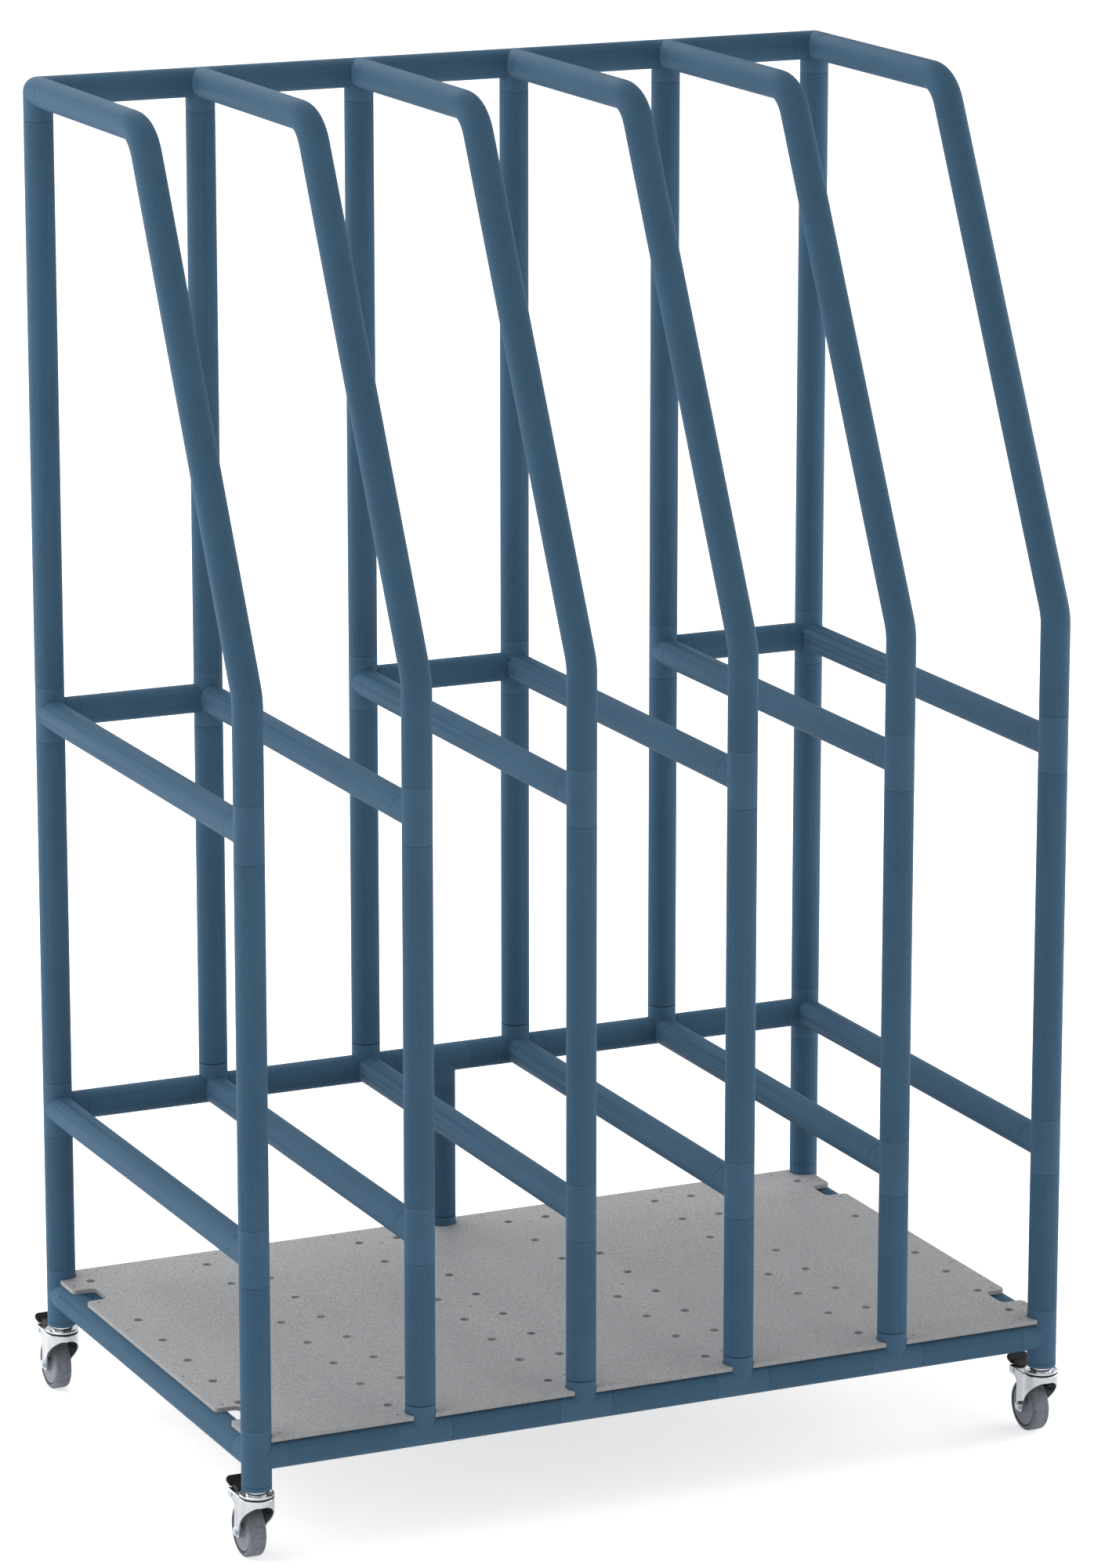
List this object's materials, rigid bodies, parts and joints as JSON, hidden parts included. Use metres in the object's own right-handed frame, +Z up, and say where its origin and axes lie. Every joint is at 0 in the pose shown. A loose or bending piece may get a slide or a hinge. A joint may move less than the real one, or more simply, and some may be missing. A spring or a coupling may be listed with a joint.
{
  "type": "mattress storage trolley",
  "caption": "Wheeled storage trolley: upright tube dividers with sloped fronts on a perforated deck and braked swivel casters, so that mattresses stand on edge in the bays between them.",
  "frame": {"origin": "middle of the footprint on the floor, under the wheels", "axes": "+Z up, X across the bays, -Y the open front where mattresses go in"},
  "size_m": [1.2686, 0.8598, 1.9455],
  "materials": {
    "tube_plastic": "blue-grey pipe plastic, soft sheen",
    "fitting_plastic": "blue-grey moulded plastic, soft sheen",
    "deck_sheet": "mid-grey sheet with a fine speckle",
    "screw_steel": "dull steel",
    "caster_plating": "bright plating",
    "axle_steel": "bright zinc",
    "ball_steel": "polished",
    "tyre_rubber": "grey, matt",
    "wheel_plastic": "grey moulded plastic",
    "pedal_plastic": "black moulded plastic",
    "seal_rubber": "black, matt"
  },
  "bodies": {
    "frame": {"back_upright_lower_tubes": "tube_plastic", "back_upright_upper_tubes": "tube_plastic", "base_back_rail_tubes": "tube_plastic", "base_corner_fittings": "fitting_plastic", "base_front_rail_tubes": "tube_plastic", "base_front_tees": "fitting_plastic", "base_inner_rail_tees": "fitting_plastic", "base_inner_rails": "tube_plastic", "base_side_rails": "tube_plastic", "bent_front_tubes": "tube_plastic", "caster_end_plugs": "fitting_plastic", "caster_seals": "seal_rubber", "caster_stems": "caster_plating", "caster_swivel_balls": "ball_steel", "centre_post_tees": "fitting_plastic", "deck_panel": "deck_sheet", "deck_screws": "screw_steel", "front_upright_lower_tubes": "tube_plastic", "front_upright_middle_tubes": "tube_plastic", "front_upright_tees": "fitting_plastic", "lower_back_corner_fittings": "fitting_plastic", "lower_back_crosses": "fitting_plastic", "lower_back_posts": "tube_plastic", "lower_back_rail_tubes": "tube_plastic", "lower_side_rails": "tube_plastic", "middle_back_fittings": "fitting_plastic", "middle_back_rail_tubes": "tube_plastic", "middle_side_rails": "tube_plastic", "top_back_corner_elbows": "fitting_plastic", "top_back_crosses": "fitting_plastic", "top_back_rail_tubes": "tube_plastic"},
    "front_left_fork": {"front_left_caster_fork": "caster_plating", "front_left_caster_axle": "axle_steel", "front_left_caster_axle_sleeve": "axle_steel", "front_left_caster_pedal_pin": "axle_steel"},
    "front_left_wheel": {"front_left_caster_tyre": "tyre_rubber", "front_left_caster_wheel_centre": "wheel_plastic"},
    "front_left_pedal": {"front_left_caster_brake_pedal": "pedal_plastic"},
    "front_right_fork": {"front_right_caster_fork": "caster_plating", "front_right_caster_axle": "axle_steel", "front_right_caster_axle_sleeve": "axle_steel", "front_right_caster_pedal_pin": "axle_steel"},
    "front_right_wheel": {"front_right_caster_tyre": "tyre_rubber", "front_right_caster_wheel_centre": "wheel_plastic"},
    "front_right_pedal": {"front_right_caster_brake_pedal": "pedal_plastic"},
    "back_left_fork": {"back_left_caster_fork": "caster_plating", "back_left_caster_axle": "axle_steel", "back_left_caster_axle_sleeve": "axle_steel", "back_left_caster_pedal_pin": "axle_steel"},
    "back_left_wheel": {"back_left_caster_tyre": "tyre_rubber", "back_left_caster_wheel_centre": "wheel_plastic"},
    "back_left_pedal": {"back_left_caster_brake_pedal": "pedal_plastic"},
    "back_right_fork": {"back_right_caster_fork": "caster_plating", "back_right_caster_axle": "axle_steel", "back_right_caster_axle_sleeve": "axle_steel", "back_right_caster_pedal_pin": "axle_steel"},
    "back_right_wheel": {"back_right_caster_tyre": "tyre_rubber", "back_right_caster_wheel_centre": "wheel_plastic"},
    "back_right_pedal": {"back_right_caster_brake_pedal": "pedal_plastic"}
  },
  "joints": [
    {"name": "front_left_swivel", "type": "hinge", "parent": "frame", "child": "front_left_fork", "pos_m": [-0.61, -0.40559, 0.0955], "axis": [0, 0, 1], "continuous": true},
    {"name": "front_left_wheel_spin", "type": "hinge", "parent": "front_left_fork", "child": "front_left_wheel", "pos_m": [-0.61, -0.37559, 0.0375], "axis": [1, 0, 0], "continuous": true},
    {"name": "front_left_brake", "type": "hinge", "parent": "front_left_fork", "child": "front_left_pedal", "pos_m": [-0.61, -0.35559, 0.084], "axis": [-1, 0, 0], "range_deg": [0, 18]},
    {"name": "front_right_swivel", "type": "hinge", "parent": "frame", "child": "front_right_fork", "pos_m": [0.61, -0.40559, 0.0955], "axis": [0, 0, 1], "continuous": true},
    {"name": "front_right_wheel_spin", "type": "hinge", "parent": "front_right_fork", "child": "front_right_wheel", "pos_m": [0.61, -0.37559, 0.0375], "axis": [1, 0, 0], "continuous": true},
    {"name": "front_right_brake", "type": "hinge", "parent": "front_right_fork", "child": "front_right_pedal", "pos_m": [0.61, -0.35559, 0.084], "axis": [-1, 0, 0], "range_deg": [0, 18]},
    {"name": "back_left_swivel", "type": "hinge", "parent": "frame", "child": "back_left_fork", "pos_m": [-0.61, 0.35441, 0.0955], "axis": [0, 0, 1], "continuous": true},
    {"name": "back_left_wheel_spin", "type": "hinge", "parent": "back_left_fork", "child": "back_left_wheel", "pos_m": [-0.61, 0.38441, 0.0375], "axis": [1, 0, 0], "continuous": true},
    {"name": "back_left_brake", "type": "hinge", "parent": "back_left_fork", "child": "back_left_pedal", "pos_m": [-0.61, 0.40441, 0.084], "axis": [-1, 0, 0], "range_deg": [0, 18]},
    {"name": "back_right_swivel", "type": "hinge", "parent": "frame", "child": "back_right_fork", "pos_m": [0.61, 0.35441, 0.0955], "axis": [0, 0, 1], "continuous": true},
    {"name": "back_right_wheel_spin", "type": "hinge", "parent": "back_right_fork", "child": "back_right_wheel", "pos_m": [0.61, 0.38441, 0.0375], "axis": [1, 0, 0], "continuous": true},
    {"name": "back_right_brake", "type": "hinge", "parent": "back_right_fork", "child": "back_right_pedal", "pos_m": [0.61, 0.40441, 0.084], "axis": [-1, 0, 0], "range_deg": [0, 18]}
  ]
}
